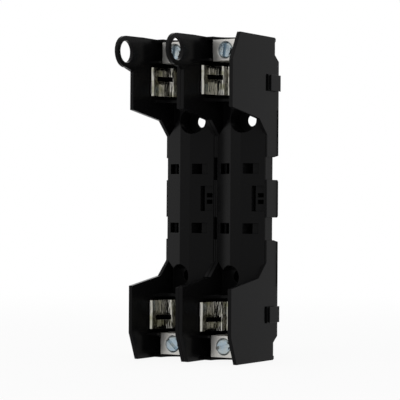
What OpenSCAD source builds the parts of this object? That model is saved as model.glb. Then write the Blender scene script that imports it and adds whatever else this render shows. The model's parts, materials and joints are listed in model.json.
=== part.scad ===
// Two-pole block for cartridge fuses, for a panel or a 35 mm rail.
// X runs across the poles, Y from the front to the panel, Z up.
// The origin is the middle of the mounting plane.

/* [Fuse] */
// Diameter of the fuse's end ferrules
ferrule_d = 20.6; // [19:0.1:22]
// Length of one ferrule
ferrule_len = 15.8; // [15:0.1:20]
// Length of the whole fuse
fuse_len = 127; // [122:0.5:140]
// Air between the fuse and the ridge of the deck
fuse_gap = 1; // [0.8:0.1:3]

/* [Block] */
// Number of poles side by side is two, this is the gap between them
pole_gap = 0.2; // [0.1:0.05:0.4]
// Thickness of the side walls
wall_t = 1.8; // [1.6:0.1:2.4]
// Thickness of the end walls
end_wall_t = 1.6; // [1.2:0.1:2.4]
// Height of the walls in front of the fuse
guard = 4.9; // [3:0.1:10]
// Thickness of decks and plates
skin_t = 2; // [1.6:0.1:2.4]
// Thickness of the ribs at the back
rib_t = 1.5; // [1:0.1:2]
// Air between a spring and the side wall
bay_air = 0.5; // [0.4:0.1:2]

/* [Deck] */
// Height of the deck's flat ridge above the panel
deck_front = 16.2; // [15.6:0.1:18]
// Height of the deck where it meets the side walls
deck_side = 10.8; // [9:0.1:12]
// Width of the flat ridge
ridge_w = 5.4; // [4:0.1:7]
// Inner edge of the deck windows, from the middle
window_in = 3.65; // [3.5:0.05:4.5]
// Outer edge of the deck windows, from the middle
window_out = 10.5; // [9.5:0.1:11]
// Where the shallow half of a right window begins
window_split = 7.5; // [6.8:0.05:8]
// Lower edge of the deck windows, from mid-height
window_z = 11.7; // [11:0.1:12.5]
// Height of the deck windows
window_h = 4.9; // [3.5:0.1:5]
// Width of the stepped recess in the right slope
recess_w = 5.2; // [4.5:0.1:5.4]
// Height of the stepped recess
recess_h = 12; // [10:0.1:16]
// Left edge of the stepped recess, from the middle
recess_x = 7.5; // [7:0.1:7.8]

/* [Panel screws] */
// Diameter of a panel screw hole
panel_hole_d = 5.8; // [4.5:0.1:6.5]
// Radius of the well round an upper panel screw
well_r = 6.2; // [5:0.1:6.4]
// Radius of the well round a lower panel screw
lower_well_r = 5.5; // [5:0.1:6.2]
// Distance of the panel screw wells from mid-height
well_z = 37.2; // [36:0.1:38.5]
// Offset of an upper well to the right of its pole's middle
well_x = 3.2; // [2.5:0.1:4]
// Offset of a lower well to the left of its pole's middle
lower_well_x = 3.3; // [2.5:0.1:4]
// Height of the plate under a panel screw's head
seat_front = 7; // [6:0.1:8]

/* [Rail] */
// Width of the rail
rail_w = 35; // [34.8:0.1:35.2]
// Play between the rail and the notch, above and below
rail_play = 2.1; // [1.5:0.1:2.5]
// Depth of the notch that takes the rail
rail_depth = 4.1; // [3.5:0.1:4.5]
// Height of the middle land between the notches
land_h = 17.8; // [15:0.1:19]
// How far a hook reaches behind the rail
hook_reach = 1.5; // [1:0.1:2]
// Thickness of the rail's edge
rail_t = 1; // [0.9:0.1:1.2]

/* [Clips] */
// Thickness of the clip strip
clip_t = 0.9; // [0.6:0.1:1.2]
// Length of a clip along the fuse
clip_len = 13.6; // [12:0.1:15]
// Angle from the back of the clip at which its leaves end
leaf_end = 106; // [98:1:115]
// Length of the lip at the end of a leaf
lip_len = 0.9; // [0.5:0.1:1.5]
// Width of the clip's flat back
clip_back_w = 11.7; // [11:0.1:13]
// Height of the slot across each leaf
leaf_slot_h = 2.3; // [1:0.1:3]
// Distance of the slot from the outer end of the clip
leaf_slot_in = 4.2; // [3.5:0.1:5]
// Thickness of the reinforcing spring
spring_t = 0.4; // [0.3:0.05:0.6]
// Length of the spring along the fuse
spring_len = 5.8; // [4:0.1:6]
// Distance of the spring from the inner end of the clip
spring_in = 0.8; // [0.5:0.1:1.4]
// Angle at which the spring's leaves end
spring_end = 96; // [85:1:97]

/* [Clip screws] */
// Shank diameter of a clip screw
clip_screw_d = 2.9; // [2.5:0.1:3.5]
// Head diameter of a clip screw
clip_head_d = 5.4; // [4.5:0.1:6]
// Head height of a clip screw
clip_head_h = 1.1; // [0.8:0.05:1.4]
// Length of a clip screw under its head
clip_screw_len = 7; // [5:0.1:8]
// Air between the head of a clip screw and the fuse
head_gap = 0.6; // [0.4:0.1:2]

/* [Lugs] */
// Width of a lug
lug_w = 13.4; // [12:0.1:14]
// Height of a lug along the wire
lug_h = 10; // [9:0.1:14]
// Width of the wire opening, which is round in front and flat on the clip's tongue
wire_d = 7.2; // [6.4:0.1:8]
// Height of the wire opening above the tongue
wire_room = 6.4; // [5:0.1:7]
// Metal between the wire opening and the front of the lug
lug_front_t = 4.4; // [4:0.1:6]
// Metal behind the clip's tongue
lug_back_t = 1.5; // [1.2:0.1:3]
// Diameter of a lug screw
lug_screw_d = 6.9; // [5:0.1:7]
// Length of a lug screw
lug_screw_len = 5.7; // [5.5:0.1:7]
// Width of the slot in a lug screw
driver_slot_w = 1.2; // [0.8:0.1:1.6]
// Depth of the slot in a lug screw
driver_slot_h = 1.5; // [1:0.1:2]

/* [Lockout ring] */
// Diameter of the hole in the ring
ring_hole_d = 10.4; // [8:0.1:11]
// Width of the ring's band
ring_band = 2.2; // [1.8:0.1:2.4]
// Distance of the ring's middle in front of the wall's edge
ring_out = 5.6; // [5.4:0.1:8]

/* [Side tabs] */
// Height of a side tab at its tip
tab_h = 7.6; // [5:0.1:9]
// How far a side tab stands out
tab_out = 1.4; // [1:0.1:1.5]
// Depth of a side tab from front to back
tab_d = 9; // [6:0.1:10]
// Height of the middle of a side tab above mid-height
tab_z = 54.6; // [52:0.1:56]

/* [Clearances] */
// Play between a clip and its spring
spring_play = 0.1; // [0.05:0.05:0.2]
// Play round the tongue in the lug
tongue_play = 0.05; // [0.03:0.01:0.1]
// Play of a screw in its thread or hole
screw_play = 0.05; // [0.03:0.01:0.1]
// Play round a side tab in its socket
tab_play = 0.15; // [0.1:0.05:0.3]
// Air between the fuse's end and the lug
end_gap = 0.7; // [0.5:0.1:2]
// Air between the lug and the end wall
lug_gap = 0.4; // [0.3:0.1:1]

/* [Hidden] */

$fn = 64;
eps = 0.01;
far = 200;
ferrule_r = ferrule_d / 2;

// Across a pole, from its middle outwards
clip_r_out = ferrule_r + clip_t;
spring_r_in = clip_r_out + spring_play;
spring_r_out = spring_r_in + spring_t;
inner_half = spring_r_out + bay_air;
pole_half = inner_half + wall_t;
pitch = 2 * pole_half + pole_gap;

// From the panel to the front, as heights above the panel
axis_front = deck_front + fuse_gap + ferrule_r;
wall_front = axis_front + ferrule_r + guard;
clip_back_front = axis_front - ferrule_r - head_gap - clip_head_h;
clip_seat = clip_back_front - clip_t;
base_seat = clip_seat - spring_t;
wire_r = wire_d / 2;
tongue_w = wire_d - 2 * tongue_play;
wire_front = clip_back_front + wire_room - wire_r;
lug_front = wire_front + wire_r + lug_front_t;
lug_back = clip_seat - lug_back_t;

// From mid-height upwards
fuse_half = fuse_len / 2;
clip_mid = fuse_half - ferrule_len / 2;
clip_in = clip_mid - clip_len / 2;
clip_out = clip_mid + clip_len / 2;
lug_in = fuse_half + end_gap;
lug_out = lug_in + lug_h;
lug_mid = (lug_in + lug_out) / 2;
end_in = lug_out + lug_gap;
half_h = end_in + end_wall_t;
spring_mid = clip_in + spring_in + spring_len / 2;

// Side wall outline: the corners of its foot, shoulder and bay, counted down from the clip
foot_drop = 18.8;
shoulder_drop = 11.5;
bay_drop = 7.4;
shoulder_rise = 7.3;
foot_z = clip_in - foot_drop;
shoulder_z = clip_in - shoulder_drop;
bay_z = clip_in - bay_drop;
shoulder_front = deck_side + shoulder_rise;

// Side wall outline: the chamfer in front and the step at the back, counted from the end
chamfer_h = 12.7;
chamfer_d = 6.8;
lower_chamfer_d = 5.2;
back_step = 3.8;
back_step_h = 8.2;
back_slope_h = 3;
chamfer_z = half_h - chamfer_h;
chamfer_front = wall_front - chamfer_d;
lower_chamfer_front = wall_front - lower_chamfer_d;
back_step_z = half_h - back_step_h;
back_slope_z = back_step_z - back_slope_h;

// Notches for the rail, and the middle land between them
notch_flare = 0.8;
hook_play = 0.2;
rail_half = rail_w / 2 + rail_play;
land_half = land_h / 2;

// Saddle wall at the inner end of a clip bay
saddle_air = 1.2;
saddle_drop = 3;
saddle_t = 1.4;
saddle_below = 3;
saddle_z = clip_in - saddle_drop;
saddle_front = axis_front - saddle_below;

// Deep corners of the deck beside a panel screw's well
corner_side = 0.8;
corner_in = ridge_w / 2 + corner_side;
corner_h = 8.6;

// Places of the wire scoop, the ribs beside a lug and the tongue
scoop_r = 8.5;
scoop_rise = 4.6;
lug_side_gap = 0.2;
lug_rib_rise = 2.6;
lug_rib_t = 1.2;
tongue_short = 0.2;

// Bosses and bores of the clip screws
boss_t = 1.6;
boss_floor = 1;
bore_spare = 0.4;

// Rail hooks: air at their sides, height and thickness of the root, and depth of the slanted lead
hook_side = 0.2;
hook_root = 0.6;
hook_lead = 1.4;

// Side tabs: distance from the panel, flare of the dovetail, and air behind the window in front
tab_back = 0.6;
tab_flare = 0.6;
tab_window_gap = 0.2;

// Lockout ring: distance below the wall's end, and how far its web runs into and along the wall
ring_drop = 0.4;
ring_web_in = 2;
ring_web_below = 1.6;

// Distance of the ribs under a lug from the plate's front, and how far a tongue runs into its clip
plate_cover = 1;
tongue_root = 1;

// How far a lug screw's tip stays inside its hole, and how its slot is turned
tip_in = 0.1;
slot_turn = 24;

// How far a cutter passes the faces that it cuts through
over = 1;
scoop_front = wire_front + scoop_rise;
lug_rib_front = lug_front + lug_rib_rise;
tongue_end = lug_out - tongue_short;

module at_upper() {
    children();
}

module at_lower() {
    mirror([0, 0, 1]) children();
}

module pole_at(side) {
    translate([side * pitch / 2, 0, 0]) children();
}

// Extrudes an outline of front and up values across the pole, from x = 0 to x = width
module across(width) {
    rotate([90, 0, 90]) linear_extrude(width) children();
}

// Extrudes an outline of x and up values to the front, from one height above the panel to another
module forward(from_front, to_front) {
    translate([0, -from_front, 0]) rotate([90, 0, 0]) linear_extrude(to_front - from_front) children();
}

// A round bar along Y between two heights above the panel
module bar_y(radius, from_front, to_front) {
    translate([0, -from_front, 0]) rotate([90, 0, 0]) cylinder(r = radius, h = to_front - from_front);
}

// Half of the side wall's outline, from mid-height to an end that reaches end_front
function wall_half(end_front) = [
    [-deck_side, 0],
    [-deck_side, foot_z],
    [-shoulder_front, shoulder_z],
    [-wall_front, bay_z],
    [-wall_front, chamfer_z],
    [-end_front, half_h],
    [-back_step, half_h],
    [-back_step, back_step_z],
    [0, back_slope_z],
    [0, rail_half + notch_flare],
    [-rail_depth, rail_half],
    [-rail_depth, land_half],
    [-notch_flare, land_half],
    [0, land_half - notch_flare],
    [0, 0]
];

module wall_outline() {
    polygon(wall_half(chamfer_front));
    mirror([0, 1]) polygon(wall_half(lower_chamfer_front));
}

module side_wall(x) {
    translate([x, 0, 0]) across(wall_t) wall_outline();
}

// Room between the outsides of the two walls, within their outline
module pole_envelope() {
    translate([-pole_half + eps, 0, 0]) across(2 * pole_half - 2 * eps) wall_outline();
}

// Cross-section of the roof-shaped deck, down to the given height above the panel
module roof_section(lift, down_to) {
    slope = (deck_front - deck_side) / (pole_half - ridge_w / 2);
    edge = deck_side + slope * wall_t / 2;
    half = pole_half - wall_t / 2;
    polygon([
        [-half, -(edge + lift)],
        [-ridge_w / 2, -(deck_front + lift)],
        [ridge_w / 2, -(deck_front + lift)],
        [half, -(edge + lift)],
        [half, -down_to],
        [-half, -down_to]
    ]);
}

module deck_skin() {
    translate([0, 0, -saddle_z]) linear_extrude(2 * saddle_z) difference() {
        roof_section(0, 0);
        roof_section(-skin_t, -1);
    }
}

// Everything below the deck's surface, down to the given height above the panel
module deck_mass(down_to) {
    translate([0, 0, -saddle_z]) linear_extrude(2 * saddle_z) roof_section(0, down_to);
}

module upper_and_lower() {
    at_upper() children();
    at_lower() children();
}

module at_upper_hole() {
    translate([well_x, 0, well_z]) children();
}

module at_lower_hole() {
    translate([-lower_well_x, 0, -well_z]) children();
}

// Plan of the deep corner beside the left wall at the upper end of the deck, grown by a margin
module corner_plan(margin) {
    polygon([
        [-inner_half - margin, foot_z - margin],
        [-corner_in + margin, foot_z + corner_h - margin],
        [-corner_in + margin, saddle_z + eps],
        [-inner_half - margin, saddle_z + eps]
    ]);
}

module end_pockets(margin, from_front, to_front) {
    upper_and_lower() forward(from_front, to_front) corner_plan(margin);
    at_upper_hole() bar_y(well_r + margin, from_front, to_front);
    at_lower_hole() bar_y(lower_well_r + margin, from_front, to_front);
}

module panel_holes() {
    at_upper_hole() bar_y(panel_hole_d / 2, -over, seat_front + over);
    at_lower_hole() bar_y(panel_hole_d / 2, -over, seat_front + over);
}

// Cross wall at the inner end of a clip bay, hollowed to let the fuse lie in it
module saddle_wall() {
    difference() {
        translate([-inner_half - eps, -saddle_front, saddle_z - eps])
            cube([2 * inner_half + 2 * eps, saddle_front, saddle_t]);
        translate([0, -axis_front, saddle_z - over]) {
            cylinder(r = ferrule_r + saddle_air, h = saddle_t + 2 * over);
            translate([-far / 2, -far, 0]) cube([far, far, saddle_t + 2 * over]);
        }
    }
}

// Plate that carries a clip and, one step lower, the plate that carries a lug
module end_plates() {
    width = 2 * inner_half + 2 * eps;
    translate([-width / 2, -base_seat, saddle_z]) cube([width, skin_t, lug_in - saddle_z]);
    translate([-width / 2, -lug_back, lug_in - rib_t]) cube([width, skin_t, half_h - lug_in + rib_t]);
}

// End wall with a round scoop for the wire
module end_wall() {
    width = 2 * inner_half + 2 * eps;
    difference() {
        translate([-width / 2, -scoop_front, end_in]) cube([width, scoop_front, end_wall_t]);
        translate([0, -scoop_front, end_in - over]) cylinder(r = scoop_r, h = end_wall_t + 2 * over);
    }
}

// Ribs on both walls that stand beside the inner end of a lug
module lug_ribs() {
    reach = inner_half - lug_w / 2 - lug_side_gap;
    for (side = [0, 1]) {
        mirror([side, 0, 0]) translate([-inner_half - eps, -lug_rib_front, lug_in - eps])
            cube([reach + eps, lug_rib_front - lug_back + eps, lug_rib_t]);
    }
}

module screw_boss() {
    boss_r = clip_screw_d / 2 + boss_t;
    translate([0, 0, spring_mid]) bar_y(boss_r, base_seat - clip_screw_len - boss_floor, base_seat - eps);
}

module screw_bore() {
    bore_r = clip_screw_d / 2 + screw_play;
    translate([0, 0, spring_mid]) bar_y(bore_r, base_seat - clip_screw_len - bore_spare, base_seat + over);
}

// Ribs at the back, cut to the outline of the walls
module back_ribs() {
    width = 2 * inner_half + 2 * eps;
    rib_front = lug_back - plate_cover;
    intersection() {
        pole_envelope();
        union() {
            for (z = [land_half - rib_t, rail_half, foot_z - rib_t]) {
                translate([-width / 2, -deck_side, z]) cube([width, deck_side, rib_t]);
            }
            translate([-width / 2, -rib_front, lug_in]) cube([width, rib_front, rib_t]);
            translate([-rib_t / 2, -rib_front, saddle_z]) cube([rib_t, rib_front, end_in - saddle_z]);
        }
    }
}

// Upright ribs behind the deck: beside and behind the windows, and beside the stepped recess
module deck_ribs() {
    height = rail_half - land_half + 2 * eps;
    intersection() {
        deck_mass(0);
        union() {
            for (x = [-window_split - rib_t, -window_in, window_in - rib_t]) upper_and_lower() {
                translate([x, -deck_front, land_half - eps]) cube([rib_t, deck_front - rail_depth, height]);
            }
            translate([recess_x - rib_t, -deck_front, -land_half]) cube([rib_t, deck_front, 2 * land_half]);
        }
    }
}

// Boss that carries a lower panel screw's plate on the panel
module lower_boss() {
    at_lower_hole() bar_y(panel_hole_d / 2 + rib_t, 0, seat_front - eps);
}

// Moulded hooks that hold the edge of the rail
module rail_hooks() {
    hook_in = rail_w / 2 + hook_play;
    lip_front = rail_depth - rail_t - hook_play;
    width = window_split - window_in - 2 * hook_side;
    for (side = [0, 1]) {
        mirror([side, 0, 0]) translate([window_in + hook_side, 0, 0]) {
            across(width) polygon([
                [-deck_side, rail_half + eps],
                [-hook_root, rail_half + eps],
                [-hook_root, hook_in + hook_root],
                [-hook_lead, hook_in - hook_reach],
                [-lip_front, hook_in - hook_reach],
                [-lip_front, hook_in],
                [-deck_side, hook_in]
            ]);
        }
    }
}

// Shallow pockets in the outer faces beside the rail notches
module notch_pocket() {
    depth = 0.8;
    for (side = [0, 1]) {
        mirror([side, 0, 0]) translate([pole_half - depth, -deck_side - over, land_half])
            cube([depth + over, deck_side + over, rail_half - land_half]);
    }
}

// A left window goes through the deck, a right one only in its inner half
module deck_windows() {
    through = skin_t + eps;
    shallow = 1.1;
    for (z = [window_z, -window_z - window_h]) {
        slope_cut(-window_out, -window_in, z, window_h, through);
        slope_cut(window_in, window_split, z, window_h, through);
        slope_cut(window_split - eps, window_out, z, window_h, shallow);
    }
}

// Cuts a pocket of even depth into the deck's surface, from x0 to x1 and from z upwards
module slope_cut(x0, x1, z, height, depth) {
    intersection() {
        translate([x0, -far / 2, z]) cube([x1 - x0, far, height]);
        translate([0, 0, -saddle_z]) linear_extrude(2 * saddle_z) difference() {
            roof_section(2, 0);
            roof_section(-depth, -1);
        }
    }
}

// Recess with a deep slot at its left and two small square holes
module stepped_recess() {
    slot_w = 1.3;
    hole_w = 3;
    hole_h = 2;
    hole_gap = 1.1;
    shallow = 1;
    right = recess_x + recess_w;
    through = skin_t + eps;
    slope_cut(recess_x, right, -recess_h / 2, recess_h, shallow);
    slope_cut(recess_x, recess_x + slot_w, -recess_h / 2, recess_h, through);
    for (z = [hole_gap / 2, -hole_gap / 2 - hole_h]) {
        slope_cut(right - hole_w, right - eps, z, hole_h, through);
    }
}

// Ring that takes a padlock, with the web that joins it to the left wall
module lockout_ring() {
    radius = ring_hole_d / 2 + ring_band;
    ring_front = wall_front + ring_out;
    ring_z = half_h - radius - ring_drop;
    web_z = ring_z - radius - ring_web_below;
    web_front = chamfer_front - ring_web_in;
    translate([-pole_half, 0, 0]) difference() {
        union() {
            translate([0, -ring_front, ring_z]) rotate([0, 90, 0]) cylinder(r = radius, h = wall_t);
            across(wall_t) polygon([
                [-ring_front, ring_z + radius],
                [-web_front, half_h],
                [-web_front, web_z],
                [-wall_front, web_z],
                [-ring_front, ring_z - radius]
            ]);
        }
        translate([-over, -ring_front, ring_z]) rotate([0, 90, 0])
            cylinder(d = ring_hole_d, h = wall_t + 2 * over);
    }
}

// Dovetail outline of a side tab, grown by its play
module tab_outline(play) {
    neck = tab_h / 2 - tab_flare;
    polygon([
        [-over, neck + play],
        [0, neck + play],
        [tab_out + play, tab_h / 2 + play],
        [tab_out + play, -tab_h / 2 - play],
        [0, -neck - play],
        [-over, -neck - play]
    ]);
}

module side_tab() {
    translate([pole_half, 0, tab_z]) forward(tab_back, tab_back + tab_d) tab_outline(0);
}

// Hole in the right wall in front of a side tab, which the mould needs to form the tab
module tab_window() {
    depth = 2.4;
    window_back = tab_back + tab_d + tab_window_gap;
    translate([pole_half - wall_t - over, -window_back - depth, tab_z - tab_h / 2])
        cube([wall_t + 2 * over, depth, tab_h]);
}

module tab_socket() {
    translate([-pole_half - pole_gap, 0, tab_z]) forward(-over, tab_back + tab_d + tab_play) {
        tab_outline(tab_play);
        translate([0, -tab_h / 2 - tab_play]) square([wall_t + pole_gap + over, tab_h + 2 * tab_play]);
    }
}

module base() {
    difference() {
        union() {
            side_wall(-pole_half);
            side_wall(pole_half - wall_t);
            deck_skin();
            intersection() {
                deck_mass(seat_front - skin_t);
                end_pockets(rib_t, 0, far);
            }
            upper_and_lower() {
                saddle_wall();
                end_plates();
                end_wall();
                lug_ribs();
                screw_boss();
                back_ribs();
                rail_hooks();
                side_tab();
            }
            deck_ribs();
            lower_boss();
            lockout_ring();
        }
        end_pockets(0, seat_front, far);
        panel_holes();
        upper_and_lower() {
            notch_pocket();
            tab_window();
            tab_socket();
            screw_bore();
        }
        deck_windows();
        stepped_recess();
    }
}

// Wedge that keeps the part of a ring between two angles from the back, on the left side
module wedge(from_angle, to_angle) {
    reach = 3 * ferrule_r;
    steps = 6;
    polygon(concat([[0, 0]], [
        for (i = [0 : steps])
            let (a = from_angle + (to_angle - from_angle) * i / steps)
            [-reach * sin(a), reach * cos(a)]
    ]));
}

// Left half of a bent strip: flat back, corner, upright and round leaf
module leaf_half(r_in, thick, back_front, half_w, end_angle) {
    corner_r = 0.8;
    axis_y = -axis_front;
    foot_x = half_w - thick / 2;
    start = asin(foot_x / (r_in + thick / 2));
    leaf_y = axis_y + sqrt(pow(r_in + thick / 2, 2) - pow(foot_x, 2));
    back_y = -back_front;
    corner_x = -(half_w - thick - corner_r);
    corner_y = back_y - corner_r;
    translate([0, axis_y]) intersection() {
        difference() {
            circle(r = r_in + thick, $fn = 128);
            circle(r = r_in, $fn = 128);
        }
        wedge(start, end_angle);
    }
    translate([corner_x, back_y]) square([-corner_x, thick]);
    translate([corner_x, corner_y]) intersection() {
        difference() {
            circle(r = corner_r + thick);
            circle(r = corner_r);
        }
        translate([-corner_r - thick, 0]) square(corner_r + thick);
    }
    translate([-half_w, leaf_y]) square([thick, corner_y - leaf_y]);
    translate([-foot_x, leaf_y]) circle(d = thick, $fn = 24);
}

// Lip that leads the fuse into the clip
module lip(r_in, thick, end_angle) {
    mid = r_in + thick / 2;
    translate([-mid * sin(end_angle), -axis_front + mid * cos(end_angle)]) {
        circle(d = thick, $fn = 24);
        rotate(end_angle + 44) translate([-thick / 2, 0]) {
            square([thick, lip_len]);
            translate([thick / 2, lip_len]) circle(d = thick, $fn = 24);
        }
    }
}

module both_sides() {
    children();
    mirror([1, 0]) children();
}

module clip() {
    difference() {
        union() {
            translate([0, 0, clip_in]) linear_extrude(clip_len) both_sides() {
                leaf_half(ferrule_r, clip_t, clip_back_front, clip_back_w / 2, leaf_end);
                lip(ferrule_r, clip_t, leaf_end);
            }
            translate([-tongue_w / 2, -clip_back_front, clip_out - tongue_root])
                cube([tongue_w, clip_t, tongue_end - clip_out + tongue_root]);
        }
        translate([0, 0, clip_out - leaf_slot_in - leaf_slot_h]) leaf_slots();
        translate([0, 0, spring_mid]) bar_y(clip_screw_d / 2 + screw_play, 0, clip_back_front + over);
    }
}

// Slots across the leaves, so that each leaf grips with two bands
module leaf_slots() {
    slot_from = 33;
    slot_to = 78;
    linear_extrude(leaf_slot_h) both_sides() translate([0, -axis_front]) intersection() {
        difference() {
            circle(r = clip_r_out + over);
            circle(r = ferrule_r - over);
        }
        wedge(slot_from, slot_to);
    }
}

module spring() {
    half_w = clip_back_w / 2 + spring_play + spring_t;
    difference() {
        translate([0, 0, spring_mid - spring_len / 2]) linear_extrude(spring_len)
            both_sides() leaf_half(spring_r_in, spring_t, clip_seat, half_w, spring_end);
        translate([0, 0, spring_mid]) bar_y(clip_screw_d / 2 + screw_play, 0, clip_back_front + over);
    }
}

module clip_screw() {
    cross_w = 0.8;
    cross_l = 3;
    cross_h = 0.7;
    head_front = clip_back_front + clip_head_h;
    translate([0, 0, spring_mid]) difference() {
        union() {
            bar_y(clip_screw_d / 2, clip_back_front - clip_screw_len, clip_back_front + eps);
            bar_y(clip_head_d / 2, clip_back_front, head_front);
        }
        for (turn = [0, 90]) {
            rotate([0, turn, 0]) translate([-cross_l / 2, -head_front - over, -cross_w / 2])
                cube([cross_l, cross_h + over, cross_w]);
        }
    }
}

module lug() {
    hole_r = lug_screw_d / 2 + screw_play;
    difference() {
        translate([-lug_w / 2, -lug_front, lug_in]) cube([lug_w, lug_front - lug_back, lug_h]);
        translate([0, -wire_front, lug_in - over]) cylinder(r = wire_r, h = lug_h + 2 * over);
        translate([-wire_r, -wire_front, lug_in - over])
            cube([wire_d, wire_front - clip_seat, lug_h + 2 * over]);
        translate([0, 0, lug_mid]) bar_y(hole_r, wire_front, lug_front + over);
    }
}

module lug_screw() {
    tip_front = wire_front + wire_r + tip_in;
    head_front = tip_front + lug_screw_len;
    translate([0, 0, lug_mid]) difference() {
        bar_y(lug_screw_d / 2, tip_front, head_front);
        rotate([0, slot_turn, 0]) translate([-lug_screw_d, -head_front - over, -driver_slot_w / 2])
            cube([2 * lug_screw_d, driver_slot_h + over, driver_slot_w]);
    }
}

module black_plastic() {
    color([0.07, 0.07, 0.075]) children();
}

module tinned_metal() {
    color([0.78, 0.76, 0.7]) children();
}

module spring_steel() {
    color([0.55, 0.56, 0.58]) children();
}

module lug_metal() {
    color([0.82, 0.83, 0.84]) children();
}

module zinc_blue() {
    color([0.62, 0.7, 0.78]) children();
}

module left_base() { black_plastic() pole_at(-1) base(); }
module left_upper_clip() { tinned_metal() pole_at(-1) clip(); }
module left_upper_spring() { spring_steel() pole_at(-1) spring(); }
module left_upper_clip_screw() { zinc_blue() pole_at(-1) clip_screw(); }
module left_upper_lug() { lug_metal() pole_at(-1) lug(); }
module left_upper_lug_screw() { zinc_blue() pole_at(-1) lug_screw(); }
module left_lower_clip() { tinned_metal() pole_at(-1) at_lower() clip(); }
module left_lower_spring() { spring_steel() pole_at(-1) at_lower() spring(); }
module left_lower_clip_screw() { zinc_blue() pole_at(-1) at_lower() clip_screw(); }
module left_lower_lug() { lug_metal() pole_at(-1) at_lower() lug(); }
module left_lower_lug_screw() { zinc_blue() pole_at(-1) at_lower() lug_screw(); }
module right_base() { black_plastic() pole_at(1) base(); }
module right_upper_clip() { tinned_metal() pole_at(1) clip(); }
module right_upper_spring() { spring_steel() pole_at(1) spring(); }
module right_upper_clip_screw() { zinc_blue() pole_at(1) clip_screw(); }
module right_upper_lug() { lug_metal() pole_at(1) lug(); }
module right_upper_lug_screw() { zinc_blue() pole_at(1) lug_screw(); }
module right_lower_clip() { tinned_metal() pole_at(1) at_lower() clip(); }
module right_lower_spring() { spring_steel() pole_at(1) at_lower() spring(); }
module right_lower_clip_screw() { zinc_blue() pole_at(1) at_lower() clip_screw(); }
module right_lower_lug() { lug_metal() pole_at(1) at_lower() lug(); }
module right_lower_lug_screw() { zinc_blue() pole_at(1) at_lower() lug_screw(); }

left_base();
left_upper_clip();
left_upper_spring();
left_upper_clip_screw();
left_upper_lug();
left_upper_lug_screw();
left_lower_clip();
left_lower_spring();
left_lower_clip_screw();
left_lower_lug();
left_lower_lug_screw();
right_base();
right_upper_clip();
right_upper_spring();
right_upper_clip_screw();
right_upper_lug();
right_upper_lug_screw();
right_lower_clip();
right_lower_spring();
right_lower_clip_screw();
right_lower_lug();
right_lower_lug_screw();
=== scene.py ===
"""Looks of a two-pole fuse block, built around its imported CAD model.

Lengths are in metres and places are in the CAD frame: X across the poles, Y from the front to the
panel, Z up, with the origin in the middle of the mounting plane.
"""

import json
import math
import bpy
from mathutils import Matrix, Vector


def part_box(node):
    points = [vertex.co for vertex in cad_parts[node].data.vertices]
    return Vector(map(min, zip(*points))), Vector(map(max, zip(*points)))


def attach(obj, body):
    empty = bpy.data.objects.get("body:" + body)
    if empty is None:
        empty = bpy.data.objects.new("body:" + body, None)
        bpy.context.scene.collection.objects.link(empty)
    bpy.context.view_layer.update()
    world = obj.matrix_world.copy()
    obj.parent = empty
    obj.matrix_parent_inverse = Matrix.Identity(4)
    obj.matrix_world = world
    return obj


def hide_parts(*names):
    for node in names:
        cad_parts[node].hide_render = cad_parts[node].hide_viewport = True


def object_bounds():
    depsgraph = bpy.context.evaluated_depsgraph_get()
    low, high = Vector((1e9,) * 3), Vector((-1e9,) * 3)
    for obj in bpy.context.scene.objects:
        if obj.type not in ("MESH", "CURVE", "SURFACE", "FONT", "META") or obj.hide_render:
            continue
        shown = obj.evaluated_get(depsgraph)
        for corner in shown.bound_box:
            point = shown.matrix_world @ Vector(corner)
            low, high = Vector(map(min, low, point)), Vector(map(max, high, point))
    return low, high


bl_info = {
    "name": "Fuse Block Looks",
    "version": (1, 0, 0),
    "blender": (4, 5, 0),
    "location": "View3D > Sidebar > Fuse Block",
    "description": "Gives a packed fuse block its plastic, metals, turned screws and studio stage",
    "category": "Object",
}

import bmesh
import bpy
from bpy.props import FloatProperty, FloatVectorProperty, IntProperty, PointerProperty
from bpy.types import Operator, Panel, PropertyGroup
from mathutils import Matrix, Quaternion, Vector

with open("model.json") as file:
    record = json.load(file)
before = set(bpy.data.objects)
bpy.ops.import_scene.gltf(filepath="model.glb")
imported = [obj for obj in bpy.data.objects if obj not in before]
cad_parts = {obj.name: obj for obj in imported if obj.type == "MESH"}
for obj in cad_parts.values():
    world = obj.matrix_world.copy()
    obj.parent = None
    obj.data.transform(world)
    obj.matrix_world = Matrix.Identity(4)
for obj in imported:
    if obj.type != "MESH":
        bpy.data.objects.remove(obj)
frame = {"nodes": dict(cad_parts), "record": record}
CAD_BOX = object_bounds()

MM = 0.001
SMOOTH_ANGLE = math.radians(32)
CONE_SEGMENTS = 72
BEVEL_SAMPLES = 6

# How far apart corners may lie and still be joined, and how far a cutter runs past a surface
WELD_DISTANCE = 0.001 * MM
CUT_PAST = 0.5 * MM

# Places of the colour sockets among the Mix node's, which all have the same names
MIX_COLOUR_INPUTS = (6, 7)
MIX_COLOUR_OUTPUT = 2

# Name, place, width and power in watts of each lamp
LAMPS = (
    ("key", (-0.35, -0.75, 0.5), 1.0, 1.8),
    ("fill", (0.8, -0.1, 0.25), 0.8, 0.8),
    ("rim", (-0.3, 0.7, 0.4), 0.8, 0.8),
)
LAMP_TARGET = (0, -0.02, 0)


def nodes_of(kind):
    """Names of the CAD nodes of one kind, such as "clip", in a fixed order."""
    return sorted(name for name in frame["nodes"] if name.endswith("_" + kind))


def body_of(node):
    """Name of the body that carries a CAD node."""
    for body, members in frame["record"]["behaviour"]["bodies"].items():
        if node in members:
            return body
    raise RuntimeError(f"no body carries {node}")


# Settings that a user may change


def colour_property(name, description, default):
    """A colour, in linear values."""
    return FloatVectorProperty(
        name=name, description=description, default=default, size=3, min=0, max=1, subtype="COLOR"
    )


def share_property(name, description, default):
    """A share from 0 to 1."""
    return FloatProperty(
        name=name, description=description, default=default, min=0, max=1, subtype="FACTOR"
    )


def length_property(name, description, default):
    """A length in metres."""
    return FloatProperty(
        name=name,
        description=description,
        default=default,
        min=0,
        subtype="DISTANCE",
        unit="LENGTH",
    )


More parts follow.
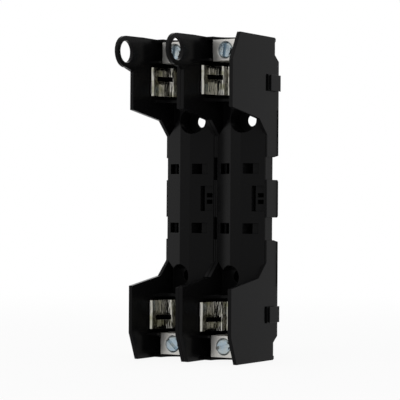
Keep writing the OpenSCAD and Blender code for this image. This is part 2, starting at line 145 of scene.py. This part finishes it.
def angle_property(name, description, degrees):
    """An angle, given in degrees and kept in radians."""
    return FloatProperty(
        name=name,
        description=description,
        default=math.radians(degrees),
        subtype="ANGLE",
        unit="ROTATION",
    )


class FUSEBLOCK_PG_bases(PropertyGroup):
    """The moulded bases"""

    colour: colour_property("Colour", "Colour of the moulded plastic", (0.005, 0.005, 0.0052))
    rubbed: colour_property(
        "Rubbed colour", "Colour where handling has rubbed the plastic", (0.009, 0.009, 0.0095)
    )
    roughness: share_property("Roughness", "Roughness of the polished mould's surface", 0.2)
    specular: share_property("Specular", "How strongly the plastic mirrors its surroundings", 0.052)
    edge_radius: length_property("Edge radius", "Rounding of the moulded edges", 0.4 * MM)


class FUSEBLOCK_PG_clips(PropertyGroup):
    """The fuse clips and the springs round them"""

    tin: colour_property("Tin", "Colour of the tin plating", (0.43, 0.42, 0.385))
    worn: colour_property("Worn tin", "Colour where the plating is thin", (0.2, 0.2, 0.12))
    steel: colour_property("Spring steel", "Colour of the reinforcing springs", (0.42, 0.42, 0.44))
    temper: colour_property(
        "Temper", "Colour that hardening left on the springs", (0.34, 0.31, 0.28)
    )
    edge_radius: length_property("Edge radius", "Rounding of the stamped edges", 0.08 * MM)
    strip: length_property("Strip", "Thickness of the clips' strip", 0.9 * MM)
    past_axis: length_property(
        "Leaf end", "How far the leaves reach in front of the fuse's axis", 0.1 * MM
    )
    lip_length: length_property("Lip length", "Length of the lips that lead the fuse in", 0.9 * MM)
    lip_flare: angle_property("Lip flare", "How far the lips are bent outwards", 57)


class FUSEBLOCK_PG_lugs(PropertyGroup):
    """The box lugs"""

    colour: colour_property("Colour", "Colour of the plated aluminium", (0.56, 0.55, 0.52))
    handled: colour_property(
        "Handled colour", "Colour where handling has dulled it", (0.44, 0.43, 0.41)
    )
    saw_pitch: length_property("Saw pitch", "Spacing of the saw marks on the cut ends", 0.35 * MM)
    edge_radius: length_property("Edge radius", "Rounding of the lugs' edges", 0.12 * MM)
    countersink: length_property(
        "Countersink", "Width of the countersink round a lug screw", 0.7 * MM
    )


class FUSEBLOCK_PG_screws(PropertyGroup):
    """The lug screws and the clip screws"""

    zinc: colour_property("Zinc", "Colour of the blue zinc plating", (0.32, 0.4, 0.46))
    tint: colour_property("Tint", "Second colour that the plating plays into", (0.42, 0.44, 0.42))
    thread_pitch: length_property(
        "Thread pitch", "Height of one turn of a lug screw's thread", 0.9 * MM
    )
    thread_depth: length_property("Thread depth", "Depth of a lug screw's thread", 0.42 * MM)
    chamfer: length_property("Chamfer", "Chamfer at both ends of a lug screw", 0.4 * MM)
    proud: length_property("Proud", "How far a lug screw stands out of its lug at rest", 0.5 * MM)
    slot_width: length_property("Slot width", "Width of a lug screw's slot", 1.5 * MM)
    slot_depth: length_property("Slot depth", "Depth of a lug screw's slot", 1.7 * MM)
    upper_turn: angle_property(
        "Upper slot turn", "How far both upper slots are turned from level", -82
    )
    left_lower_turn: angle_property(
        "Left lower slot turn", "How far the left lower slot is turned", 42
    )
    right_lower_turn: angle_property(
        "Right lower slot turn", "How far the right lower slot is turned", -12
    )
    head_height: length_property("Clip screw head", "Height of a clip screw's head", 1.1 * MM)
    shank: length_property("Clip screw shank", "Diameter of a clip screw's shank", 2.9 * MM)
    segments: IntProperty(
        name="Segments", description="Steps round a turned piece", default=72, min=24
    )


class FUSEBLOCK_PG_stage(PropertyGroup):
    """Camera, lamps and floor"""

    azimuth: angle_property(
        "Azimuth", "Angle of the camera to the right of the block's front", 32.06
    )
    elevation: angle_property("Elevation", "Height of the camera above the block's middle", -0.36)
    roll: angle_property("Roll", "Turn of the camera about its line of sight", 0.37)
    distance: length_property("Distance", "Distance of the camera from the block", 0.8)
    lens: FloatProperty(
        name="Lens", description="Focal length in millimetres", default=152.0, unit="CAMERA"
    )
    aim: FloatVectorProperty(
        name="Aim",
        description="Point that the camera looks at",
        default=(-2.24 * MM, -21.39 * MM, -0.81 * MM),
        subtype="TRANSLATION",
        unit="LENGTH",
    )
    floor_colour: colour_property("Floor", "Colour of the floor", (0.9, 0.9, 0.9))
    card_colour: colour_property("Card", "Colour of the dark card", (0.01, 0.01, 0.01))
    card_gap: length_property("Card gap", "Distance of the dark card behind the block", 1 * MM)
    card_height: length_property(
        "Card height", "Height of the dark card, which covers the deck's windows", 84 * MM
    )
    ambient: share_property("Ambient", "Strength of the light that comes from all round", 0.6)


class FUSEBLOCK_PG_settings(PropertyGroup):
    """All settings of the fuse block"""

    bases: PointerProperty(type=FUSEBLOCK_PG_bases)
    clips: PointerProperty(type=FUSEBLOCK_PG_clips)
    lugs: PointerProperty(type=FUSEBLOCK_PG_lugs)
    screws: PointerProperty(type=FUSEBLOCK_PG_screws)
    stage: PointerProperty(type=FUSEBLOCK_PG_stage)


# Shader building


class Socket:
    """An output of a shader node. Arithmetic on it adds the Math nodes that work it out."""

    def __init__(self, shader, output):
        self.shader = shader
        self.output = output

    def of(self, name):
        """Another output of the same node."""
        return Socket(self.shader, self.output.node.outputs[name])

    def _math(self, operation, *values):
        return self.shader.add("ShaderNodeMath", {"operation": operation}, dict(enumerate(values)))

    def __add__(self, other):
        return self._math("ADD", self, other)

    def __radd__(self, other):
        return self._math("ADD", other, self)

    def __sub__(self, other):
        return self._math("SUBTRACT", self, other)

    def __rsub__(self, other):
        return self._math("SUBTRACT", other, self)

    def __mul__(self, other):
        return self._math("MULTIPLY", self, other)

    def __abs__(self):
        return self._math("ABSOLUTE", self)

    def sine(self):
        return self._math("SINE", self)

    def between(self, low, high):
        """0 below low and 1 above high, with a smooth rise between them."""
        settings = {"interpolation_type": "SMOOTHSTEP", "clamp": True}
        sockets = {"Value": self, "From Min": low, "From Max": high}
        return self.shader.add("ShaderNodeMapRange", settings, sockets)


class Shader:
    """Adds nodes to the tree of a material or the world."""

    def __init__(self, owner):
        owner.use_nodes = True
        self.tree = owner.node_tree
        self.tree.nodes.clear()

    def add(self, kind, settings=None, sockets=None):
        """Adds a node, sets its settings, then fills its sockets with values or links.

        Gives the node's first output, or None if it has no output.
        """
        node = self.tree.nodes.new(kind)
        for name, value in (settings or {}).items():
            setattr(node, name, value)
        for name, value in (sockets or {}).items():
            if isinstance(value, Socket):
                self.tree.links.new(value.output, node.inputs[name])
            else:
                node.inputs[name].default_value = value
        visible = [output for output in node.outputs if output.enabled]
        return Socket(self, visible[0]) if visible else None

    def place(self):
        """The point on the surface in the CAD frame, in millimetres."""
        point = self.add("ShaderNodeTexCoord").of("Object")
        sockets = {"Vector": point, "Scale": 1 / MM}
        return self.add("ShaderNodeVectorMath", {"operation": "SCALE"}, sockets)

    def stretched(self, place, factors):
        """A place with its axes multiplied. A small factor draws a pattern out along its axis."""
        return self.add("ShaderNodeVectorMath", {"operation": "MULTIPLY"}, {0: place, 1: factors})

    def noise(self, place, scale, detail=2.0):
        """Noise from 0 to 1 with about `scale` features per millimetre."""
        sockets = {"Vector": place, "Scale": scale, "Detail": detail}
        return self.add("ShaderNodeTexNoise", None, sockets)

    def blend(self, share, first, second):
        """A colour that goes from the first to the second as the share goes from 0 to 1."""
        settings = {"data_type": "RGBA"}
        node = self.add("ShaderNodeMix", settings, {"Factor": share}).output.node
        for index, colour in zip(MIX_COLOUR_INPUTS, (first, second)):
            node.inputs[index].default_value = (*colour, 1.0)
        return Socket(self, node.outputs[MIX_COLOUR_OUTPUT])

    def relief(self, height, depth, edge_radius):
        """A normal from a height of 0 to 1 over `depth` metres, on edges rounded by edge_radius."""
        rounded = self.add("ShaderNodeBevel", {"samples": BEVEL_SAMPLES}, {"Radius": edge_radius})
        sockets = {"Height": height, "Distance": depth, "Normal": rounded}
        return self.add("ShaderNodeBump", None, sockets)

    def surface(self, sockets):
        """Ends a material with one Principled surface."""
        body = self.add("ShaderNodeBsdfPrincipled", None, sockets)
        self.add("ShaderNodeOutputMaterial", None, {"Surface": body})


def new_material(name):
    """A new material and the shader that builds it."""
    material = bpy.data.materials.new(name)
    return material, Shader(material)


def moulded_plastic(settings):
    """Black thermoplastic from a polished mould, with faint rubbing marks."""
    mould_depth = 0.008 * MM
    grain_share = 0.4
    across_pole = (0.5, 0.5, 2.0)
    rubbed_share = 0.5
    flow_roughness, rubbed_roughness = 0.1, 0.1
    material, shader = new_material("moulded_black_plastic")
    place = shader.place()
    flow = shader.noise(place, scale=0.06, detail=3.0)
    grain = shader.noise(place, scale=9.0)
    rubbing = shader.noise(shader.stretched(place, across_pole), scale=0.7, detail=6.0)
    rubbed = rubbing.between(0.6, 0.78)
    height = grain * grain_share + flow * (1 - grain_share)
    shader.surface({
        "Base Color": shader.blend(rubbed * rubbed_share, settings.colour, settings.rubbed),
        "Roughness": settings.roughness + (flow - 0.5) * flow_roughness + rubbed * rubbed_roughness,
        "Specular IOR Level": settings.specular,
        "Normal": shader.relief(height, mould_depth, settings.edge_radius),
    })
    return material


def tinned_strip(settings):
    """Tinned copper alloy strip, with rolling streaks along the fuse and thin spots in the tin."""
    streak_depth = 0.3 * MM
    along_fuse = (1.0, 1.0, 0.1)
    worn_share = 0.8
    roughness, streak_roughness = 0.04, 0.08
    material, shader = new_material("tinned_strip")
    place = shader.place()
    streaks = shader.noise(shader.stretched(place, along_fuse), scale=0.95)
    worn = shader.noise(place, scale=0.22, detail=3.0).between(0.44, 0.68)
    shader.surface({
        "Base Color": shader.blend(worn * worn_share, settings.tin, settings.worn),
        "Metallic": 1.0,
        "Roughness": roughness + streaks * streak_roughness,
        "Normal": shader.relief(streaks, streak_depth, settings.edge_radius),
    })
    return material


def spring_steel(settings):
    """Blank hardened steel strip."""
    streak_depth = 0.01 * MM
    round_clip = (0.1, 0.1, 6.0)
    temper_share = 0.35
    roughness, streak_roughness = 0.3, 0.15
    material, shader = new_material("spring_steel")
    place = shader.place()
    streaks = shader.noise(shader.stretched(place, round_clip), scale=1.4, detail=4.0)
    temper = shader.noise(place, scale=0.25).between(0.4, 0.7)
    shader.surface({
        "Base Color": shader.blend(temper * temper_share, settings.steel, settings.temper),
        "Metallic": 1.0,
        "Roughness": roughness + streaks * streak_roughness,
        "Normal": shader.relief(streaks, streak_depth, settings.edge_radius),
    })
    return material


def plated_aluminium(settings):
    """Extruded aluminium with satin plating: drawn lines, and saw marks on the cut ends."""
    mark_depth = 0.015 * MM
    saw_slant = 0.35
    saw_wander = 1.5
    along_extrusion = (1.0, 1.0, 0.04)
    handled_share = 0.5
    roughness, handled_roughness, sawn_roughness = 0.26, 0.12, 0.1
    material, shader = new_material("plated_aluminium")
    place = shader.place()
    drawn = shader.noise(shader.stretched(place, along_extrusion), scale=1.8, detail=3.0)
    point = shader.add("ShaderNodeSeparateXYZ", None, {"Vector": place})
    wander = shader.noise(place, scale=0.15) * saw_wander
    across_saw = point.of("X") + point.of("Y") * saw_slant + wander
    sawn = (across_saw * (math.tau * MM / settings.saw_pitch)).sine() * 0.5 + 0.5
    normal = shader.add("ShaderNodeNewGeometry").of("Normal")
    facing = shader.add("ShaderNodeSeparateXYZ", None, {"Vector": normal})
    end_face = abs(facing.of("Z")).between(0.7, 0.9)
    handled = shader.noise(place, scale=0.4, detail=3.0)
    marks = drawn * (1 - end_face) + sawn * end_face
    shader.surface({
        "Base Color": shader.blend(handled * handled_share, settings.colour, settings.handled),
        "Metallic": 1.0,
        "Roughness": roughness + handled * handled_roughness + end_face * sawn_roughness,
        "Normal": shader.relief(marks, mark_depth, settings.edge_radius),
    })
    return material


def blue_zinc(settings):
    """Steel with bright blue zinc plating."""
    speck_depth = 0.005 * MM
    edge_radius = 0.06 * MM
    tint_share = 0.7
    roughness, speck_roughness = 0.16, 0.1
    material, shader = new_material("blue_zinc")
    place = shader.place()
    play = shader.noise(place, scale=0.3).between(0.35, 0.7)
    specks = shader.noise(place, scale=3.0)
    shader.surface({
        "Base Color": shader.blend(play * tint_share, settings.zinc, settings.tint),
        "Metallic": 1.0,
        "Roughness": roughness + specks * speck_roughness,
        "Normal": shader.relief(specks, speck_depth, edge_radius),
    })
    return material


def dress(nodes, material):
    """Puts one material on CAD nodes that keep their shape."""
    for name in nodes:
        mesh = frame["nodes"][name].data
        mesh.materials.clear()
        mesh.materials.append(material)


# Mesh building


def thread_groove(turns):
    """Depth of a vee thread as a share, 0 on the crest and 1 in the root, after so many turns."""
    share = turns % 1.0
    flat_crest = 0.18
    return max(0.0, 1 - abs(share - 0.5) / (0.5 - flat_crest / 2))


def turned_piece(name, axis_point, rings, pitch, depth, segments):
    """A closed piece turned about an axis that runs from axis_point to the front.

    rings are (height, radius, threaded) from its back to its front, where threaded is how much of
    the thread's depth is cut into it there.
    """
    mesh = bmesh.new()
    loops = []
    for height, radius, threaded in rings:
        loop = []
        for step in range(segments):
            angle = math.tau * step / segments
            cut = threaded * depth * thread_groove(height / pitch - step / segments)
            reach = radius - cut
            offset = Vector((reach * math.cos(angle), -height, reach * math.sin(angle)))
            loop.append(mesh.verts.new(axis_point + offset))
        loops.append(loop)
    for back, front in zip(loops, loops[1:]):
        for step in range(segments):
            after = (step + 1) % segments
            mesh.faces.new((back[step], back[after], front[after], front[step]))
    mesh.faces.new(loops[0][::-1])
    mesh.faces.new(loops[-1])
    bmesh.ops.recalc_face_normals(mesh, faces=mesh.faces)
    return finished_object(name, mesh)


def finished_object(name, mesh):
    """An object in the scene that takes over a finished mesh."""
    data = bpy.data.meshes.new(name)
    mesh.to_mesh(data)
    mesh.free()
    piece = bpy.data.objects.new(name, data)
    bpy.context.scene.collection.objects.link(piece)
    return piece


def tapered_bar(mesh, size, taper, matrix):
    """Adds a bar of size (x, y, z) whose back end, at +y, is smaller by the share taper."""
    made = bmesh.ops.create_cube(mesh, size=1.0)["verts"]
    for vert in made:
        x, y, z = vert.co
        narrow = 1 - taper * (y + 0.5)
        vert.co = Vector((x * size[0] * narrow, y * size[1], z * size[2] * narrow))
    bmesh.ops.transform(mesh, matrix=matrix, verts=made)


def combine(piece, other, operation):
    """Joins another solid to a piece with UNION or cuts it away with DIFFERENCE.

    The other solid is deleted.
    """
    step = piece.modifiers.new("combine", "BOOLEAN")
    step.operation = operation
    step.solver = "EXACT"
    step.use_self = True
    step.object = other
    graph = bpy.context.evaluated_depsgraph_get()
    result = bpy.data.meshes.new_from_object(piece.evaluated_get(graph))
    piece.modifiers.clear()
    piece.data = result
    bpy.data.objects.remove(other)


def solid_of(node):
    """A mesh of a CAD node's shape, joined at its edges and without the normals of its file."""
    data = frame["nodes"][node].data.copy()
    normals = data.attributes.get("custom_normal")
    if normals:
        data.attributes.remove(normals)
    mesh = bmesh.new()
    mesh.from_mesh(data)
    bpy.data.meshes.remove(data)
    bmesh.ops.remove_doubles(mesh, verts=mesh.verts, dist=WELD_DISTANCE)
    return mesh


def smooth(piece):
    """Shades a piece smooth, with sharp edges where its faces meet at a clear angle."""
    piece.data.shade_smooth()
    piece.data.set_sharp_from_angle(angle=SMOOTH_ANGLE)


def stand_for(piece, node, material):
    """Lets a finished piece take a CAD node's place, on its body and with its material."""
    smooth(piece)
    piece.data.materials.clear()
    piece.data.materials.append(material)
    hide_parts(node)
    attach(piece, body_of(node))


def spaced(start, end, step):
    """Values from start to end with about that step between them, both ends included."""
    count = max(1, round((end - start) / step))
    return [start + (end - start) * i / count for i in range(count + 1)]


def slot_turn(node, settings):
    """How far a lug screw happens to be turned."""
    turns = {
        "left_lower_lug_screw": settings.left_lower_turn,
        "right_lower_lug_screw": settings.right_lower_turn,
    }
    return turns.get(node, settings.upper_turn)


def lug_screw(node, settings):
    """A headless screw with a thread, chamfered ends and a slot."""
    steps_per_turn = 9
    low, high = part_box(node)
    radius = (high.x - low.x) / 2
    lug_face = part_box(node.removesuffix("_screw"))[0].y
    length = high.y - lug_face + settings.proud
    tip = Vector(((low.x + high.x) / 2, high.y, (low.z + high.z) / 2))
    chamfer = settings.chamfer
    rings = [(0.0, radius - chamfer, 0.0)]
    for height in spaced(chamfer, length - chamfer, settings.thread_pitch / steps_per_turn):
        rings.append((height, radius, 1.0))
    rings.append((length, radius - chamfer, 0.0))
    pitch, depth = settings.thread_pitch, settings.thread_depth
    piece = turned_piece(f"{node}_turned", tip, rings, pitch, depth, settings.segments)
    mesh = bmesh.new()
    face = tip + Vector((0, -length, 0))
    turn = Matrix.Rotation(slot_turn(node, settings), 4, "Y")
    # The bar that cuts the slot is centred on the screw's face and runs past it on both sides
    bar = (3 * radius, 2 * settings.slot_depth, settings.slot_width)
    tapered_bar(mesh, bar, 0.0, Matrix.Translation(face) @ turn)
    combine(piece, finished_object(f"{node}_slot", mesh), "DIFFERENCE")
    return piece


def countersunk_lug(node, settings):
    """A lug in its CAD shape, with the countersink round its screw cut into it."""
    piece = finished_object(f"{node}_countersunk", solid_of(node))
    low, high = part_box(f"{node}_screw")
    radius = (high.x - low.x) / 2
    middle = (low + high) / 2
    depth = settings.countersink
    seat = Vector((middle.x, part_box(node)[0].y + depth, middle.z))
    rings = [(0.0, radius, 0.0), (depth + CUT_PAST, radius + depth + CUT_PAST, 0.0)]
    cone = turned_piece(f"{node}_cone", seat, rings, depth, 0.0, CONE_SEGMENTS)
    combine(piece, cone, "DIFFERENCE")
    return piece


def fuse_axis(node):
    """A point on the axis of the fuse that a clip holds."""
    for mount in frame["record"]["mounts"]:
        if mount["name"] == node.replace("_clip", "_fuse_clip"):
            return Vector(mount["pos_m"])
    raise RuntimeError(f"no mount belongs to {node}")


def lip(name, root, direction, length, thickness, low_z, high_z):
    """A straight strip with round edges, from root along direction in the X-Y plane.

    It is drawn out along the fuse, from low_z to high_z.
    """
    round_steps = 8
    outline = []
    for middle, first in ((root, 90), (root + direction * length, -90)):
        for step in range(round_steps + 1):
            turn = Matrix.Rotation(math.radians(first + 180 * step / round_steps), 2)
            outline.append(middle + turn @ direction * (thickness / 2))
    mesh = bmesh.new()
    ends = [[mesh.verts.new((x, y, z)) for x, y in outline] for z in (low_z, high_z)]
    for loop in ends:
        mesh.faces.new(loop)
    for step, vert in enumerate(ends[0]):
        after = (step + 1) % len(outline)
        mesh.faces.new((vert, ends[0][after], ends[1][after], ends[1][step]))
    bmesh.ops.recalc_face_normals(mesh, faces=mesh.faces)
    return finished_object(name, mesh)


def lipped_clip(node, settings):
    """A clip in its CAD shape, but with leaves that end by the fuse's axis and more flared lips."""
    axis = fuse_axis(node)
    end_y = axis.y - settings.past_axis
    mesh = solid_of(node)
    leaf_z = [vert.co.z for vert in mesh.verts if vert.co.y < end_y]
    everything = mesh.verts[:] + mesh.edges[:] + mesh.faces[:]
    cut = bmesh.ops.bisect_plane(
        mesh, geom=everything, plane_co=(0, end_y, 0), plane_no=(0, -1, 0), clear_outer=True
    )
    rims = [part for part in cut["geom_cut"] if isinstance(part, bmesh.types.BMEdge)]
    bmesh.ops.holes_fill(mesh, edges=rims)
    reach = max(abs(vert.co.x - axis.x) for vert in mesh.verts)
    piece = finished_object(f"{node}_lipped", mesh)
    for side in (-1, 1):
        root = Vector((axis.x + side * (reach - settings.strip / 2), end_y))
        direction = Vector((side * math.sin(settings.lip_flare), -math.cos(settings.lip_flare)))
        flared = lip(
            f"{node}_lip",
            root,
            direction,
            settings.lip_length,
            settings.strip,
            min(leaf_z),
            max(leaf_z),
        )
        combine(piece, flared, "UNION")
    return piece


def clip_screw(node, settings):
    """A pan-head screw with a cross recess and a threaded shank."""
    pitch = 0.7 * MM
    thread_depth = 0.3 * MM
    steps_per_turn = 7
    plain_neck = 0.5 * MM
    seat_step = 0.001 * MM
    tip_share = 0.7
    tip_length_share = 0.3
    side_share = 0.45
    crown_share = 0.45
    dome_steps = 8
    recess_bar = (3.1 * MM, 2.6 * MM, 0.7 * MM)
    recess_taper = 0.55
    low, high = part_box(node)
    head_radius = (high.x - low.x) / 2
    length = high.y - low.y
    shank = settings.shank / 2
    seat = length - settings.head_height
    tip = Vector(((low.x + high.x) / 2, high.y, (low.z + high.z) / 2))
    rings = [(0.0, shank * tip_share, 0.0)]
    for height in spaced(shank * tip_length_share, seat - plain_neck, pitch / steps_per_turn):
        rings.append((height, shank, 1.0))
    rings.append((seat, shank, 0.0))
    rings.append((seat + seat_step, head_radius, 0.0))
    side = side_share * settings.head_height
    for step in range(dome_steps + 1):
        angle = math.radians(90) * step / dome_steps
        radius = head_radius - crown_share * head_radius * (1 - math.cos(angle))
        rings.append((seat + side + (settings.head_height - side) * math.sin(angle), radius, 0.0))
    piece = turned_piece(f"{node}_turned", tip, rings, pitch, thread_depth, settings.segments)
    mesh = bmesh.new()
    face = tip + Vector((0, -length, 0))
    for turn in (0, 90):
        matrix = Matrix.Translation(face) @ Matrix.Rotation(math.radians(turn), 4, "Y")
        tapered_bar(mesh, recess_bar, recess_taper, matrix)
    combine(piece, finished_object(f"{node}_recess", mesh), "DIFFERENCE")
    return piece


# Pieces and stage


class FUSEBLOCK_OT_bases(Operator):
    """Give the two moulded bases their black plastic"""

    bl_idname = "fuse_block.bases"
    bl_label = "Moulded Bases"

    def execute(self, context):
        dress(nodes_of("base"), moulded_plastic(context.scene.fuse_block.bases))
        return {"FINISHED"}


class FUSEBLOCK_OT_clips(Operator):
    """Shape the leaves and lips of the fuse clips and give the clips their tinned strip"""

    bl_idname = "fuse_block.clips"
    bl_label = "Fuse Clips"

    def execute(self, context):
        settings = context.scene.fuse_block.clips
        tin = tinned_strip(settings)
        for node in nodes_of("clip"):
            stand_for(lipped_clip(node, settings), node, tin)
        return {"FINISHED"}


class FUSEBLOCK_OT_springs(Operator):
    """Give the reinforcing springs their steel"""

    bl_idname = "fuse_block.springs"
    bl_label = "Reinforcing Springs"

    def execute(self, context):
        dress(nodes_of("spring"), spring_steel(context.scene.fuse_block.clips))
        return {"FINISHED"}


class FUSEBLOCK_OT_lugs(Operator):
    """Cut the countersinks into the box lugs and give the lugs their plated aluminium"""

    bl_idname = "fuse_block.lugs"
    bl_label = "Box Lugs"

    def execute(self, context):
        settings = context.scene.fuse_block.lugs
        plating = plated_aluminium(settings)
        for node in nodes_of("lug"):
            stand_for(countersunk_lug(node, settings), node, plating)
        return {"FINISHED"}


class FUSEBLOCK_OT_screws(Operator):
    """Turn the lug screws and the clip screws, with their threads, slots and recesses"""

    bl_idname = "fuse_block.screws"
    bl_label = "Screws"

    def execute(self, context):
        settings = context.scene.fuse_block.screws
        zinc = blue_zinc(settings)
        for node in nodes_of("lug_screw"):
            stand_for(lug_screw(node, settings), node, zinc)
        for node in nodes_of("clip_screw"):
            stand_for(clip_screw(node, settings), node, zinc)
        return {"FINISHED"}


def soft_lamp(name, place, target, size, power):
    """A square lamp that shines at a target."""
    light = bpy.data.lights.new(name, "AREA")
    light.shape = "SQUARE"
    light.size = size
    light.energy = power
    lamp = bpy.data.objects.new(name, light)
    lamp.location = place
    lamp.rotation_euler = (target - place).to_track_quat("-Z", "Y").to_euler()
    bpy.context.scene.collection.objects.link(lamp)


def seen_directly(shader):
    """1 for rays that show the background itself: camera, mirror and see-through rays."""
    rays = shader.add("ShaderNodeLightPath")
    seen = rays.of("Is Camera Ray") + rays.of("Is Glossy Ray") + rays.of("Is Transmission Ray")
    return seen.between(0.0, 1.0)


def white_world(ambient):
    """A world that shows white and lights the block less strongly, by the share ambient."""
    world = bpy.data.worlds.new("white_studio")
    bpy.context.scene.world = world
    shader = Shader(world)
    strength = ambient + seen_directly(shader) * (1 - ambient)
    light = shader.add("ShaderNodeBackground", None, {"Color": (1, 1, 1, 1), "Strength": strength})
    shader.add("ShaderNodeOutputWorld", None, {"Surface": light})


def pale_floor(settings):
    """A floor under the block that shows white, apart from the block's soft shadow."""
    half_width = 6.0
    gap = 0.05 * MM
    near_share = 0.9
    fade_start_mm = 150.0
    fade_end_mm = 700.0
    mesh = bmesh.new()
    bmesh.ops.create_grid(mesh, x_segments=1, y_segments=1, size=half_width)
    under = CAD_BOX[0].z - gap
    bmesh.ops.translate(mesh, vec=Vector((0, 0, under)), verts=mesh.verts)
    floor = finished_object("floor", mesh)
    material, shader = new_material("pale_floor")
    own = shader.add("ShaderNodeBsdfDiffuse", None, {"Color": (*settings.floor_colour, 1)})
    white = shader.add("ShaderNodeEmission", None, {"Strength": 1.0})
    sockets = {"Vector": shader.place()}
    distance = shader.add("ShaderNodeVectorMath", {"operation": "LENGTH"}, sockets)
    far_off = distance.between(fade_start_mm, fade_end_mm)
    share = seen_directly(shader) * (near_share + far_off * (1 - near_share))
    shown = shader.add("ShaderNodeMixShader", None, {0: share, 1: own, 2: white})
    shader.add("ShaderNodeOutputMaterial", None, {"Surface": shown})
    floor.data.materials.append(material)


def dark_card(settings):
    """A dark card behind the deck that the camera doesn't see.

    It keeps light out of the deck's hollows, as a table does when the block lies on its back.
    """
    low, high = CAD_BOX
    back = high.y + settings.card_gap
    half = settings.card_height / 2
    mesh = bmesh.new()
    corners = ((low.x, -half), (high.x, -half), (high.x, half), (low.x, half))
    mesh.faces.new([mesh.verts.new((x, back, z)) for x, z in corners])
    card = finished_object("dark_card", mesh)
    material, shader = new_material("dark_card")
    own = shader.add("ShaderNodeBsdfDiffuse", None, {"Color": (*settings.card_colour, 1)})
    shader.add("ShaderNodeOutputMaterial", None, {"Surface": own})
    card.data.materials.append(material)
    card.visible_camera = False


def studio_camera(settings):
    """The camera, which looks at the aim from its azimuth, elevation and distance."""
    aim = Vector(settings.aim)
    lift = math.cos(settings.elevation)
    away = Vector((
        math.sin(settings.azimuth) * lift,
        -math.cos(settings.azimuth) * lift,
        math.sin(settings.elevation),
    ))
    optics = bpy.data.cameras.new("camera")
    optics.lens = settings.lens
    optics.clip_start = 0.01
    optics.clip_end = 20.0
    camera = bpy.data.objects.new("camera", optics)
    camera.location = aim + away * settings.distance
    sight = (-away).to_track_quat("-Z", "Y") @ Quaternion((0, 0, 1), settings.roll)
    camera.rotation_euler = sight.to_euler()
    bpy.context.scene.collection.objects.link(camera)
    bpy.context.scene.camera = camera


class FUSEBLOCK_OT_stage(Operator):
    """Set the camera, the soft lamps, the white world, the pale floor and the dark card"""

    bl_idname = "fuse_block.stage"
    bl_label = "Studio Stage"

    def execute(self, context):
        settings = context.scene.fuse_block.stage
        context.scene.view_settings.view_transform = "Standard"
        white_world(settings.ambient)
        pale_floor(settings)
        dark_card(settings)
        studio_camera(settings)
        for name, place, width, power in LAMPS:
            soft_lamp(name, Vector(place), Vector(LAMP_TARGET), width, power)
        return {"FINISHED"}


class FUSEBLOCK_PT_looks(Panel):
    """Lists the pieces and the stage"""

    bl_idname = "FUSEBLOCK_PT_looks"
    bl_label = "Fuse Block"
    bl_space_type = "VIEW_3D"
    bl_region_type = "UI"
    bl_category = "Fuse Block"

    def draw(self, context):
        settings = context.scene.fuse_block
        sections = (
            (settings.bases, (FUSEBLOCK_OT_bases,)),
            (settings.clips, (FUSEBLOCK_OT_clips, FUSEBLOCK_OT_springs)),
            (settings.lugs, (FUSEBLOCK_OT_lugs,)),
            (settings.screws, (FUSEBLOCK_OT_screws,)),
            (settings.stage, (FUSEBLOCK_OT_stage,)),
        )
        for group, operators in sections:
            box = self.layout.box()
            for name in group.__annotations__:
                box.prop(group, name)
            for operator in operators:
                box.operator(operator.bl_idname)


CLASSES = (
    FUSEBLOCK_PG_bases,
    FUSEBLOCK_PG_clips,
    FUSEBLOCK_PG_lugs,
    FUSEBLOCK_PG_screws,
    FUSEBLOCK_PG_stage,
    FUSEBLOCK_PG_settings,
    FUSEBLOCK_OT_bases,
    FUSEBLOCK_OT_clips,
    FUSEBLOCK_OT_springs,
    FUSEBLOCK_OT_lugs,
    FUSEBLOCK_OT_screws,
    FUSEBLOCK_OT_stage,
    FUSEBLOCK_PT_looks,
)


def register():
    """Adds the classes and hangs the settings on the scene."""
    for cls in CLASSES:
        bpy.utils.register_class(cls)
    bpy.types.Scene.fuse_block = PointerProperty(type=FUSEBLOCK_PG_settings)


def unregister():
    """Takes the settings and the classes away again."""
    del bpy.types.Scene.fuse_block
    for cls in reversed(CLASSES):
        bpy.utils.unregister_class(cls)


def main():
    """Builds everything."""
    register()
    bpy.ops.fuse_block.stage()
    bpy.ops.fuse_block.bases()
    bpy.ops.fuse_block.clips()
    bpy.ops.fuse_block.springs()
    bpy.ops.fuse_block.lugs()
    bpy.ops.fuse_block.screws()


if __name__ == "__main__":
    main()
